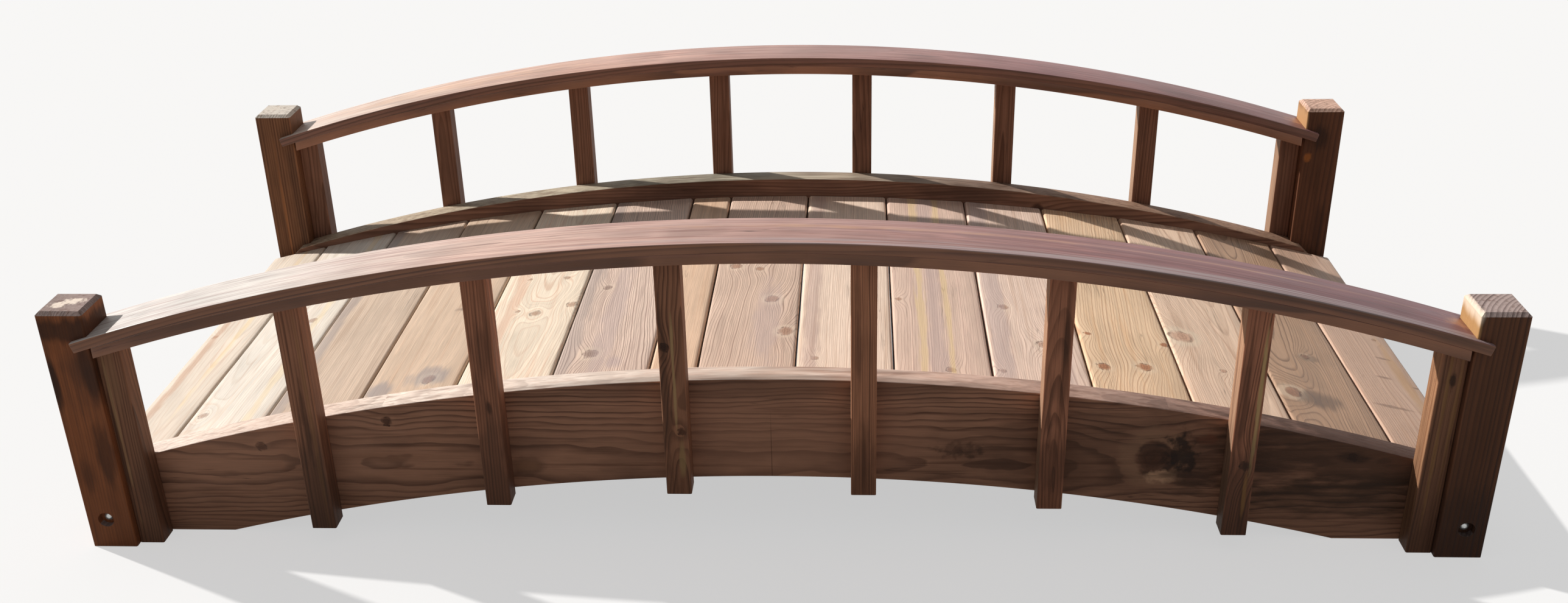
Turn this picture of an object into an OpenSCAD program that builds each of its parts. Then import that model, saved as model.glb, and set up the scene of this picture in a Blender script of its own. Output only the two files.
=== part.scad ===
// Garden moon bridge: two arched side beams housed in four posts, a cambered
// plank deck between the beams, and an arched two-layer handrail on square
// balusters along each side. Millimetres, +X along the walk, +Y to the back,
// +Z up, origin on the ground below the middle of the deck.

/* [Span] */
// Length over the end faces of the posts
span_len = 2722; // [2400:1:3100]
// Clear width between the inner faces of the two beams
walk_w = 1003; // [800:1:1300]

/* [Beams] */
// Thickness of each beam
beam_t = 53; // [40:0.5:65]
// Height of the beam's top at mid-span
beam_top = 352; // [330:1:380]
// Rise of the beam's arcs from the posts' end faces to mid-span
beam_rise = 211; // [180:1:230]
// Height of the beam between its lower and its upper arc
beam_depth = 216.5; // [190:0.5:235]
// How far the beam's end stops short of the post's end face
beam_end_in = 18; // [8:1:30]
// Run and fall of the sloping cut at the top of the beam's end
beam_cut = 50; // [20:1:60]

/* [Posts] */
// Width of the square posts
post_w = 89; // [76:1:100]
// Height of the posts
post_h = 520; // [500:1:600]
// Chamfer round the top of a post
post_chamfer = 7; // [3:0.5:14]
// Radius of the eased upright edges of a post
post_edge_r = 3; // [1:0.5:6]
// How far the beam is let into the inner face of a post
post_lap = 29.5; // [20:0.5:40]

/* [Balusters] */
// Width of a baluster along the rail
baluster_w = 48.5; // [36:0.5:60]
// Depth of a baluster from the beam outwards
baluster_d = 45; // [36:0.5:50]
// Balusters along each side
baluster_count = 8; // [6:1:10]
// How far a baluster hangs below the beam's lower arc
baluster_drop = 9; // [4:1:16]
// Radius of the eased upright edges of a baluster
baluster_edge_r = 3; // [1:0.5:6]

/* [Handrails] */
// Width of the handrail
rail_w = 116; // [106:0.5:130]
// Thickness of the upper layer of the handrail
rail_cap_t = 20.5; // [16:0.5:26]
// Thickness of the lower layer of the handrail
rail_sub_t = 20.5; // [16:0.5:26]
// Height of the handrail's top at mid-span
rail_top = 664.5; // [640:0.5:690]
// Rise of the handrail's arc from the posts' end faces to mid-span
rail_rise = 223; // [200:0.5:240]
// How far the handrail stands out past the posts
rail_out = 12; // [8:0.5:18]
// How far the upper layer runs on along both sides of a post
rail_tine = 31; // [16:1:50]
// How far the lower layer stops short of the posts
rail_sub_in = 10; // [4:0.5:20]
// Radius of the eased upper edges along the handrail
rail_edge_r = 4; // [2:0.5:8]

/* [Deck] */
// Height of the deck's top at mid-span
deck_top = 306; // [290:1:320]
// Rise of the deck from the posts' end faces to mid-span
deck_rise = 172.5; // [160:0.5:185]
// How far the deck runs past the posts' end faces
deck_out = 6; // [0:0.5:12]
// Width of a full plank
plank_w = 192.5; // [150:0.5:220]
// Thickness of the planks
plank_t = 38; // [28:0.5:45]
// Gap between planks
plank_gap = 4; // [2:0.5:10]
// Width of the one narrow plank
filler_w = 93; // [60:0.5:140]
// Place of the narrow plank, along the deck from its middle
filler_at = -202; // [-260:1:-140]
// Least width of the ripped planks at the two ends
end_plank_min = 70; // [50:1:100]
// Room between the end of a plank and the beam
plank_room = 0.5; // [0.2:0.1:2]
// Radius of the eased edges along a plank
plank_edge_r = 6.5; // [2:0.5:10]

/* [Ledgers] */
// Thickness of the ledger on the inner face of a beam
ledger_t = 38; // [28:0.5:50]
// Height of the ledger
ledger_h = 60; // [40:1:70]
// Room between the ledger and the planks on it
ledger_room = 0.2; // [0.1:0.05:0.4]
// Distance from the ledger's end to the washer of the post bolt
ledger_end = 10; // [5:1:20]

/* [Bolts] */
// Diameter of the bolt through a post and the beam
bolt_d = 8; // [6:0.5:12]
// Room round the bolt in its hole
bolt_room = 0.25; // [0.1:0.05:0.6]
// Height of the bolt above the ground
bolt_up = 63; // [50:1:75]
// Distance of the bolt from the post's end face
bolt_in = 38; // [30:1:50]
// Diameter of the counterbore in the post's outer face
counterbore_d = 31.5; // [26:0.5:36]
// Depth of the counterbore
counterbore_depth = 14; // [10:0.5:22]
// Diameter of the domed bolt head
bolt_head_d = 18; // [15:0.5:24]
// Height of the domed bolt head
bolt_head_h = 5; // [3:0.5:7]
// Diameter of the washer under the nut
washer_d = 22; // [18:0.5:30]
// Thickness of the washer
washer_t = 1.6; // [1:0.1:3]
// Width of the nut across its flats
nut_w = 13; // [11:0.5:19]
// Height of the nut
nut_h = 6.5; // [5:0.5:10]
// Length of thread past the nut
bolt_tail = 4; // [1:0.5:8]

/* [Hidden] */
$fn = 96;
ARC_FN = 1440;
TINY = 1;

SIDES = ["front", "back"];
ENDS = ["left", "right"];

// The radius of an arc from its half chord and its rise
function arc_radius(half, rise) = (half * half + rise * rise) / (2 * rise);
// How far an arc has fallen below its crown at x
function arc_fall(r, x) = r - sqrt(r * r - x * x);

post_x = span_len / 2;
post_inner_x = post_x - post_w;
beam_in_y = walk_w / 2;
beam_out_y = beam_in_y + beam_t;
post_in_y = beam_out_y - post_lap;
post_out_y = post_in_y + post_w;
rail_out_y = post_out_y + rail_out;
rail_in_y = rail_out_y - rail_w;

beam_r = arc_radius(post_x, beam_rise);
beam_end_x = post_x - beam_end_in;
beam_cut_x = beam_end_x - beam_cut;
beam_cut_z = beam_top - arc_fall(beam_r, beam_cut_x);

rail_r = arc_radius(post_x, rail_rise);
rail_seam_r = rail_r - rail_cap_t;
rail_under_r = rail_seam_r - rail_sub_t;
rail_cz = rail_top - rail_r;
rail_sub_half = post_inner_x - rail_sub_in;

baluster_end_x = post_inner_x - baluster_w / 2;
baluster_pitch = 2 * baluster_end_x / (baluster_count - 1);

deck_r = arc_radius(post_x, deck_rise);
deck_cz = deck_top - deck_r;
deck_half = deck_r * asin((post_x + deck_out) / deck_r) * PI / 180;
plank_pitch = plank_w + plank_gap;
left_start = filler_at - filler_w / 2 - plank_gap;
right_start = filler_at + filler_w / 2 + plank_gap;
left_full = floor((deck_half + left_start - end_plank_min) / plank_pitch);
right_full = floor((deck_half - right_start - end_plank_min) / plank_pitch);
left_rest = deck_half + left_start - left_full * plank_pitch;
right_rest = deck_half - right_start - right_full * plank_pitch;
// Middle and width of each plank from left to right, along the deck
planks = concat(
    [[left_rest / 2 - deck_half, left_rest]],
    [for (i = [left_full - 1 : -1 : 0]) [left_start - i * plank_pitch - plank_w / 2, plank_w]],
    [[filler_at, filler_w]],
    [for (i = [0 : right_full - 1]) [right_start + i * plank_pitch + plank_w / 2, plank_w]],
    [[deck_half - right_rest / 2, right_rest]]
);

bolt_x = post_x - bolt_in;
bolt_seat_y = post_out_y - counterbore_depth;
ledger_half = bolt_x - washer_d / 2 - ledger_end;
ledger_r = deck_r - plank_t - ledger_room;

function plank_name(i) = str("deck_plank_", i < 9 ? "0" : "", i + 1);
function post_name(side, end) = str(side, "_", end, "_post");
function baluster_name(side, i) = str(side, "_baluster_", i + 1);

// Pieces are drawn for the back right and mirrored to their side and end
module on_side(side) {
    mirror(side == "front" ? [0, 1, 0] : [0, 0, 0]) children();
}

module at_end(end) {
    mirror(end == "left" ? [1, 0, 0] : [0, 0, 0]) children();
}

// Extrudes an elevation, drawn in x and z, from y0 over the length t
module along_y(y0, t) {
    translate([0, y0 + t, 0])
        rotate([90, 0, 0])
            linear_extrude(height = t)
                children();
}

// A w by d section with all four corners eased
module eased_section(w, d, r) {
    translate([-w / 2, -d / 2 + r]) square([w, d - 2 * r]);
    translate([-w / 2 + r, -d / 2]) square([w - 2 * r, d]);
    for (x = [-1, 1], y = [-1, 1])
        translate([x * (w / 2 - r), y * (d / 2 - r)]) circle(r = r);
}

// A w by t section with its two upper corners eased, its top at zero
module eased_top_section(w, t, r) {
    translate([-w / 2, -t]) square([w, t - r]);
    translate([-w / 2 + r, -t]) square([w - 2 * r, t]);
    for (x = [-1, 1])
        translate([x * (w / 2 - r), -r]) circle(r = r);
}

// Bolts lie across the bridge, their heads in the posts' outer faces
module at_bolt(y) {
    translate([bolt_x, y, bolt_up])
        rotate([-90, 0, 0])
            children();
}

module bolt_hole(y0, y1) {
    at_bolt(y0)
        cylinder(d = bolt_d + 2 * bolt_room, h = y1 - y0);
}

// Elevation of a beam: parallel arcs above and below, flat feet, sloping ends
module beam_elevation() {
    difference() {
        intersection() {
            translate([0, beam_top - beam_r]) circle(r = beam_r, $fn = ARC_FN);
            translate([-beam_end_x, 0]) square([2 * beam_end_x, beam_top]);
        }
        translate([0, beam_top - beam_depth - beam_r]) circle(r = beam_r, $fn = ARC_FN);
        for (end = ENDS)
            at_end(end)
                polygon([
                    [beam_cut_x, beam_cut_z],
                    [beam_end_x + TINY, beam_cut_z - beam_cut - TINY],
                    [beam_end_x + TINY, beam_top],
                    [beam_cut_x, beam_top]
                ]);
    }
}

module beam_blank() {
    along_y(beam_in_y, beam_t) beam_elevation();
}

module beam() {
    color([0.25, 0.15, 0.1])
        difference() {
            beam_blank();
            for (end = ENDS)
                at_end(end) bolt_hole(beam_in_y - TINY, beam_out_y + TINY);
        }
}

// An arched cleat that carries the plank ends
module ledger() {
    color([0.3, 0.19, 0.13])
        along_y(beam_in_y - ledger_t, ledger_t)
            intersection() {
                translate([0, deck_cz])
                    difference() {
                        circle(r = ledger_r, $fn = ARC_FN);
                        circle(r = ledger_r - ledger_h, $fn = ARC_FN);
                    }
                translate([-ledger_half, 0]) square([2 * ledger_half, deck_top]);
            }
}

// A flat plank laid square to the deck's arc
module deck_plank(i) {
    length = walk_w - 2 * plank_room;
    color(i % 3 == 0 ? [0.72, 0.58, 0.46] : [0.66, 0.53, 0.43])
        translate([0, 0, deck_cz])
            rotate([0, planks[i][0] / deck_r * 180 / PI, 0])
                translate([0, 0, deck_r])
                    along_y(-length / 2, length)
                        eased_top_section(planks[i][1], plank_t, plank_edge_r);
}

// Elevation of a post's width with its top corners chamfered
module post_elevation() {
    polygon([
        [-post_w / 2, 0],
        [post_w / 2, 0],
        [post_w / 2, post_h - post_chamfer],
        [post_w / 2 - post_chamfer, post_h],
        [-post_w / 2 + post_chamfer, post_h],
        [-post_w / 2, post_h - post_chamfer]
    ]);
}

// The post is cut over the beam and counterbored for the bolt head
module post() {
    color([0.24, 0.14, 0.1])
        difference() {
            translate([post_x - post_w / 2, post_out_y - post_w / 2, 0])
                intersection() {
                    linear_extrude(height = post_h)
                        eased_section(post_w, post_w, post_edge_r);
                    along_y(-post_w / 2, post_w) post_elevation();
                    rotate([0, 0, 90]) along_y(-post_w / 2, post_w) post_elevation();
                }
            beam_blank();
            bolt_hole(beam_out_y - TINY, post_out_y);
            at_bolt(bolt_seat_y)
                cylinder(d = counterbore_d, h = counterbore_depth + TINY);
        }
}

// Balusters stand on the beam's outer face and fit up under the rail's arc
module baluster(i) {
    x = -baluster_end_x + i * baluster_pitch;
    at_post = i == 0 || i == baluster_count - 1;
    bottom = at_post ? 0 : beam_top - beam_depth - arc_fall(beam_r, x) - baluster_drop;
    color([0.22, 0.14, 0.09])
        intersection() {
            translate([x, beam_out_y + baluster_d / 2, bottom])
                linear_extrude(height = rail_top - bottom)
                    eased_section(baluster_w, baluster_d, baluster_edge_r);
            along_y(beam_out_y - TINY, baluster_d + 2 * TINY)
                translate([0, rail_cz]) circle(r = rail_under_r, $fn = ARC_FN);
        }
}

// Sweeps a rail section, drawn with its top at zero, by turn to both sides of mid-span
module rail_sweep(r, turn) {
    translate([0, (rail_in_y + rail_out_y) / 2, rail_cz])
        rotate([90, 0, 0])
            rotate_extrude(angle = 2 * turn, start = 90 - turn, $fn = ARC_FN)
                translate([r, 0])
                    rotate(-90)
                        children();
}

// The lower layer is cut upright, just short of the posts
module rail_lower_layer() {
    color([0.28, 0.18, 0.14])
        intersection() {
            rail_sweep(rail_seam_r, asin(rail_sub_half / rail_under_r) + 1)
                translate([-rail_w / 2, -rail_sub_t])
                    square([rail_w, rail_sub_t]);
            translate([-rail_sub_half, rail_in_y - TINY, 0])
                cube([2 * rail_sub_half, rail_w + 2 * TINY, rail_top]);
        }
}

// The upper layer is notched round the posts, with a tine along each side, and
// its ends are cut square to the arc
module rail_cap() {
    color([0.42, 0.29, 0.25])
        difference() {
            rail_sweep(rail_r, asin((post_inner_x + rail_tine) / rail_r))
                eased_top_section(rail_w, rail_cap_t, rail_edge_r);
            for (end = ENDS)
                at_end(end)
                    translate([post_inner_x, post_in_y, 0])
                        cube([post_w, post_w, rail_top]);
        }
}

// A round-headed bolt from the counterbore through to a nut inside the beam
module bolt() {
    dome_r = arc_radius(bolt_head_d / 2, bolt_head_h);
    tail_y = beam_in_y - washer_t - nut_h - bolt_tail;
    at_bolt(bolt_seat_y)
        intersection() {
            cylinder(d = bolt_head_d, h = bolt_head_h);
            translate([0, 0, bolt_head_h - dome_r]) sphere(r = dome_r);
        }
    at_bolt(tail_y) cylinder(d = bolt_d, h = bolt_seat_y - tail_y);
    at_bolt(beam_in_y - washer_t) cylinder(d = washer_d, h = washer_t);
    at_bolt(beam_in_y - washer_t - nut_h)
        cylinder(d = nut_w / cos(30), h = nut_h, $fn = 6);
}

module post_bolts() {
    color([0.72, 0.73, 0.74])
        for (side = SIDES, end = ENDS)
            on_side(side) at_end(end) bolt();
}

for (side = SIDES) {
    on_side(side) beam();
    on_side(side) ledger();
    for (end = ENDS)
        on_side(side) at_end(end) post();
    for (i = [0 : baluster_count - 1])
        on_side(side) baluster(i);
    on_side(side) rail_lower_layer();
    on_side(side) rail_cap();
}
for (i = [0 : len(planks) - 1])
    deck_plank(i);
post_bolts();
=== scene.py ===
import math

import bmesh
import bpy
from mathutils import Matrix, Vector


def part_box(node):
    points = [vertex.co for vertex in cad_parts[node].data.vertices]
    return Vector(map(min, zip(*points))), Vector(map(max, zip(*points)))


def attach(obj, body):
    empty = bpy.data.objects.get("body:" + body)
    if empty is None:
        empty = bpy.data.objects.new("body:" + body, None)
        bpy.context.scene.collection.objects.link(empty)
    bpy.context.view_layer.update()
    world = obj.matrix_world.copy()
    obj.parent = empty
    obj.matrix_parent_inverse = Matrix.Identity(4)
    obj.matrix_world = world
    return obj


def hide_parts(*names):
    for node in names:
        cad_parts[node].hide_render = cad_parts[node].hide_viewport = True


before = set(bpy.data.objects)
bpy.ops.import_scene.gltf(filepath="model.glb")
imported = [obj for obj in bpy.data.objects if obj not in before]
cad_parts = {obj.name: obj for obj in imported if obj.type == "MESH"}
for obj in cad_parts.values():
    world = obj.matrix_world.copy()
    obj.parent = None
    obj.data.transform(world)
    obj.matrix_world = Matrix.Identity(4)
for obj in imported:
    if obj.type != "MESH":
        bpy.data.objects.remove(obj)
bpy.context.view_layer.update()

# Sizes in metres: what the frame gives, and the bends and gaps it doesn't
SIDES = {"front": -1, "back": 1}
ENDS = (-1, 1)
POST_LOW, POST_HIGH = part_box("back_right_post")
BEAM_LOW, BEAM_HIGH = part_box("back_beam")
CAP_LOW, CAP_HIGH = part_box("back_rail_cap")
POST_INNER_X = POST_LOW.x
POST_END_X = POST_HIGH.x

BEAM_RISE = 0.211
BEAM_DEPTH = 0.2165
BEAM_CUT = 0.050
BEAM_EDGE_R = 0.0025
BEAM_GRAIN_DROP = 0.015
CROWN_JOINT_Z = 0.288
CROWN_SHIFT = (0.42, 0.9, 0.12)

RAIL_RISE = 0.223
RAIL_LAYER_T = 0.0205
RAIL_TINE = 0.031
RAIL_LOWER_IN = 0.010
RAIL_EDGE_R = 0.002
RAIL_SEAM_R = 0.001
RAIL_STEPS = 180

DECK_TOP = 0.306
DECK_RISE = 0.1725
DECK_OUT = 0.006
PLANK_W = 0.1925
PLANK_T = 0.038
PLANK_GAP = 0.004
PLANK_ROOM = 0.0005
PLANK_EDGE_R = 0.0065
PLANK_END_R = 0.0012
FILLER_W = 0.093
FILLER_AT = -0.202
FULL_LEFT = 5
FULL_RIGHT = 7
PLANK_UNEVEN = 0.0016
PLANK_UNEVEN_LENGTH = 0.22
PLANK_CUTS_ALONG = 23
PLANK_CUTS_ACROSS = 5

BALUSTERS = 8

UP = Vector((0, 0, 1))
TO_SUN = Vector((-0.768, 0.384, 0.512))

ARC_SIDES = 1440
QUARTER = math.pi / 2


def arc_radius(half, rise):
    return (half * half + rise * rise) / (2 * rise)


def arc_fall(radius, x):
    return radius - math.sqrt(radius * radius - x * x)


BEAM_R = arc_radius(POST_END_X, BEAM_RISE)
RAIL_R = arc_radius(POST_END_X, RAIL_RISE)
DECK_R = arc_radius(POST_END_X, DECK_RISE)
RAIL_HALF_TURN = math.asin((POST_INNER_X + RAIL_TINE) / RAIL_R)
BEAM_CENTRE_Z = BEAM_HIGH.z - BEAM_R
RAIL_CENTRE_Z = CAP_HIGH.z - RAIL_R
DECK_CENTRE_Z = DECK_TOP - DECK_R
RAIL_W = CAP_HIGH.y - CAP_LOW.y
RAIL_Y = (CAP_LOW.y + CAP_HIGH.y) / 2
BEAM_Y = (BEAM_LOW.y + BEAM_HIGH.y) / 2
PLANK_L = 2 * (BEAM_LOW.y - PLANK_ROOM)


# Nodes
ORIGIN = (0, 0, 0)
WHITE = (1, 1, 1, 1)
SOCKET_KINDS = {1: "NodeSocketFloat", 3: "NodeSocketVector", 4: "NodeSocketColor"}


def feed(tree, socket, value):
    if isinstance(value, bpy.types.NodeSocket):
        tree.links.new(value, socket)
    else:
        socket.default_value = value


def add_node(tree, kind, *values, **settings):
    """Adds a node, sets it up and feeds its inputs in their order"""
    node = tree.nodes.new("ShaderNode" + kind)
    for key, value in settings.items():
        setattr(node, key, value)
    for socket, value in zip(node.inputs, values):
        feed(tree, socket, value)
    return node.outputs


def maths(tree, operation, *values):
    return add_node(tree, "Math", *values, operation=operation)["Value"]


def times(tree, first, second):
    return maths(tree, "MULTIPLY", first, second)


def plus(tree, first, second):
    return maths(tree, "ADD", first, second)


def minus(tree, first, second):
    return maths(tree, "SUBTRACT", first, second)


def rest_of(tree, value):
    """What a value from 0 to 1 leaves of 1"""
    return minus(tree, 1.0, value)


def vectors(tree, operation, *values):
    outputs = add_node(tree, "VectorMath", *values, operation=operation)
    return outputs["Value" if operation in ("LENGTH", "DOT_PRODUCT") else "Vector"]


def parts_of(tree, vector):
    return add_node(tree, "SeparateXYZ", vector)


def vector_of(tree, x, y, z):
    return add_node(tree, "CombineXYZ", x, y, z)["Vector"]


def cloud(tree, place, stretch, seed, detail=2.0):
    """Noise over a place that is stretched by its own factor each way"""
    node = tree.nodes.new("ShaderNodeTexNoise")
    node.inputs["Scale"].default_value = 1.0
    node.inputs["Detail"].default_value = detail
    far = vectors(tree, "MULTIPLY", vector_of(tree, seed, seed, seed), (1.7, 2.3, 3.1))
    feed(tree, node.inputs["Vector"], vectors(tree, "MULTIPLY_ADD", place, stretch, far))
    return node.outputs


def fade(tree, value, low, high):
    """0 up to the low value, 1 from the high one on"""
    return add_node(tree, "MapRange", value, low, high, interpolation_type="SMOOTHSTEP")["Result"]


def mixed(tree, amount, first, second, kind="MIX"):
    node = tree.nodes.new("ShaderNodeMix")
    node.data_type = "RGBA"
    node.blend_type = kind
    feed(tree, node.inputs[0], amount)
    feed(tree, node.inputs[6], first)
    feed(tree, node.inputs[7], second)
    return node.outputs[2]


def toned(tree, value, stops):
    """A colour that changes from stop to stop of a value from 0 to 1"""
    node = tree.nodes.new("ShaderNodeValToRGB")
    while len(node.color_ramp.elements) < len(stops):
        node.color_ramp.elements.new(0.5)
    for element, (position, *colour) in zip(node.color_ramp.elements, stops):
        element.position = position
        element.color = dye(*colour)
    feed(tree, node.inputs["Fac"], value)
    return node.outputs["Color"]


def label_of(key):
    """A socket's name from a key: spaces for underscores, and capitals"""
    return key.replace("_", " ").title()


def new_group(name, inputs, outputs):
    """A node group whose sockets take their kinds from the values that they start with"""
    tree = bpy.data.node_groups.new(name, "ShaderNodeTree")
    for way, sockets in (("INPUT", inputs), ("OUTPUT", outputs)):
        for key, value in sockets.items():
            kind = SOCKET_KINDS[1 if isinstance(value, float) else len(value)]
            socket = tree.interface.new_socket(name=label_of(key), in_out=way, socket_type=kind)
            socket.default_value = value
    entry = tree.nodes.new("NodeGroupInput")
    leave = tree.nodes.new("NodeGroupOutput")
    return tree, entry.outputs, leave.inputs


def placed(tree, group, **values):
    """Puts a group in a tree with values for its inputs"""
    node = tree.nodes.new("ShaderNodeGroup")
    node.node_tree = group
    for key, value in values.items():
        feed(tree, node.inputs[label_of(key)], value)
    return node.outputs


def new_material(name):
    """A material, its tree and the inputs of its shader"""
    material = bpy.data.materials.new(name)
    material.use_nodes = True
    tree = material.node_tree
    return material, tree, tree.nodes["Principled BSDF"].inputs


def dye(red, green, blue):
    """A colour as a screen shows it, 0 to 255, turned for a shader"""
    def linear(value):
        share = value / 255
        return share / 12.92 if share <= 0.04045 else ((share + 0.055) / 1.055) ** 2.4
    return linear(red), linear(green), linear(blue), 1.0


# Wood: a place on a board is across the face, along the grain and out of the face
# How often each kind of mark comes in a metre of those three ways
FIBRES = (700, 14, 700)
FURROWS = (300, 5, 300)
HAIR_CRACKS = (140, 3, 140)
CRACKED_PARTS = (14, 3, 14)
STREAKS = (90, 3, 90)
BLOTCHES = (9, 4.5, 9)
TEARS = (60, 12, 60)
BAND_TEARS = (110, 7, 110)
LONG_TEARS = (150, 4, 150)
FINE_TEARS = (260, 3, 260)
BLOTS = (55, 55, 55)
FINE_BLOTS = (120, 120, 120)
SPANGLES = (300, 300, 300)
RELIEF_STRENGTH = 0.4
RELIEF_DEPTH = 0.0012


def bent_board_group():
    """Straightens a bent board: the arc's centre is at zero, its axis along y"""
    tree, entry, leave = new_group("bent board", dict(place=ORIGIN, radius=1.0), dict(place=ORIGIN))
    x, y, z = parts_of(tree, entry["Place"])
    out = vectors(tree, "LENGTH", vector_of(tree, x, 0.0, z))
    along = times(tree, maths(tree, "ARCTAN2", x, z), entry["Radius"])
    rise = minus(tree, out, entry["Radius"])
    feed(tree, leave["Place"], vector_of(tree, y, along, rise))
    return tree


def knot_group():
    """One knot: pushes the rings round it and marks its core, its dark rim and a pale halo"""
    tree, entry, leave = new_group(
        "knot",
        dict(place=ORIGIN, centre=ORIGIN, size=0.01, swirl=1.6, push=0.0, marks=ORIGIN),
        dict(push=0.0, marks=ORIGIN),
    )
    size = entry["Size"]
    in_knots = vectors(tree, "DIVIDE", entry["Place"], vector_of(tree, size, size, size))
    rough = cloud(tree, in_knots, (1.3, 1.0, 1.3), 3.0, 4.0)
    ragged = vectors(tree, "SUBTRACT", rough["Color"], (0.5, 0.5, 0.5))
    ragged = vectors(tree, "MULTIPLY", ragged, vector_of(tree, size, size, 0.0))
    away = vectors(tree, "SUBTRACT", entry["Place"], entry["Centre"])
    near = vectors(tree, "MULTIPLY", vectors(tree, "ADD", away, ragged), (1.0, 0.95, 0.0))
    reach = maths(tree, "DIVIDE", vectors(tree, "LENGTH", near), size)
    wide = vectors(tree, "MULTIPLY", away, (0.42, 0.22, 0.0))
    wide_reach = maths(tree, "DIVIDE", vectors(tree, "LENGTH", wide), size)
    near_wide = times(tree, times(tree, wide_reach, wide_reach), -1.0)
    swell = maths(tree, "EXPONENT", near_wide)
    push = times(tree, times(tree, swell, size), entry["Swirl"])
    feed(tree, leave["Push"], plus(tree, push, entry["Push"]))

    core = rest_of(tree, fade(tree, reach, 0.55, 1.2))
    edge = minus(tree, fade(tree, reach, 0.7, 0.95), fade(tree, reach, 0.98, 1.25))
    edge = times(tree, edge, fade(tree, rough["Fac"], 0.42, 0.66))
    eye = maths(tree, "SINE", times(tree, reach, 17.0))
    eye = times(tree, fade(tree, eye, 0.1, 1.0), 0.3)
    split = times(tree, fade(tree, rough["Fac"], 0.6, 0.7), 0.45)
    inside = times(tree, core, maths(tree, "MAXIMUM", eye, split))
    rim = maths(tree, "MAXIMUM", edge, inside)
    halo = minus(tree, fade(tree, reach, 1.0, 1.2), fade(tree, reach, 1.35, 2.2))
    halo = times(tree, halo, fade(tree, size, 0.0, 0.035))
    marks = vector_of(tree, core, rim, halo)
    feed(tree, leave["Marks"], vectors(tree, "MAXIMUM", marks, entry["Marks"]))
    return tree


def smear_group():
    """A ragged patch or band of another tint"""
    tree, entry, leave = new_group(
        "smear",
        dict(
            colour=(0.5, 0.4, 0.3, 1), place=ORIGIN, centre=ORIGIN, reach=(0.03, 0.1, 1.0),
            tint=(0.1, 0.08, 0.07, 1), amount=0.5, ragged=0.7, tears=TEARS, seed=0.0,
        ),
        dict(colour=WHITE),
    )
    away = vectors(tree, "SUBTRACT", entry["Place"], entry["Centre"])
    away = vectors(tree, "DIVIDE", away, entry["Reach"])
    rough = cloud(tree, entry["Place"], entry["Tears"], entry["Seed"], 5.0)["Fac"]
    ragged = times(tree, entry["Ragged"], 2.0)
    rough = times(tree, minus(tree, rough, 0.5), ragged)
    reach = plus(tree, vectors(tree, "LENGTH", away), rough)
    mask = rest_of(tree, fade(tree, reach, 0.35, 1.0))
    colour = mixed(tree, times(tree, mask, entry["Amount"]), entry["Colour"], entry["Tint"])
    feed(tree, leave["Colour"], colour)
    return tree


RING_INPUTS = dict(
    place=ORIGIN, pith=(0, 0, -0.08), lean=(0, 0, 0.03), spacing=0.006, waver=0.004, wave_length=0.3,
    thin=0.3, push=0.0, seed=0.0,
)


def rings_group():
    """Year rings round a pith that leans along the board: 1 on the late wood of each year"""
    tree, entry, leave = new_group("year rings", RING_INPUTS, dict(late=0.0, year=0.0))
    along = parts_of(tree, entry["Place"])["Y"]
    lean = vectors(tree, "MULTIPLY", entry["Lean"], vector_of(tree, along, along, along))
    place = vectors(tree, "SUBTRACT", vectors(tree, "SUBTRACT", entry["Place"], entry["Pith"]), lean)
    often = maths(tree, "DIVIDE", 1.0, entry["Wave Length"])
    across_often = times(tree, often, 3.0)
    stretch = vector_of(tree, across_often, often, across_often)
    sway = cloud(tree, entry["Place"], stretch, entry["Seed"], 3.0)["Color"]
    sway = vectors(tree, "SUBTRACT", sway, (0.5, 0.5, 0.5))
    reach = times(tree, entry["Waver"], 2.0)
    place = vectors(tree, "ADD", place, vectors(tree, "MULTIPLY", sway, vector_of(tree, reach, 0.0, reach)))
    across, _, out = parts_of(tree, place)
    radius = vectors(tree, "LENGTH", vector_of(tree, across, out, 0.0))
    radius = plus(tree, radius, entry["Push"])
    years = maths(tree, "DIVIDE", radius, entry["Spacing"])
    uneven = cloud(tree, vector_of(tree, years, 0.0, 0.0), (0.35, 1, 1), entry["Seed"], 1.0)["Fac"]
    years = plus(tree, years, times(tree, uneven, 2.2))
    share = maths(tree, "FRACT", years)
    after = rest_of(tree, fade(tree, share, 0.92, 1.0))
    late = times(tree, fade(tree, share, entry["Thin"], 0.9), after)
    year = tree.nodes.new("ShaderNodeTexWhiteNoise")
    year.noise_dimensions = "1D"
    feed(tree, year.inputs["W"], plus(tree, maths(tree, "FLOOR", years), entry["Seed"]))
    strength = plus(tree, times(tree, year.outputs["Value"], 0.6), 0.4)
    feed(tree, leave["Late"], times(tree, late, strength))
    feed(tree, leave["Year"], year.outputs["Value"])
    return tree


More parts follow.
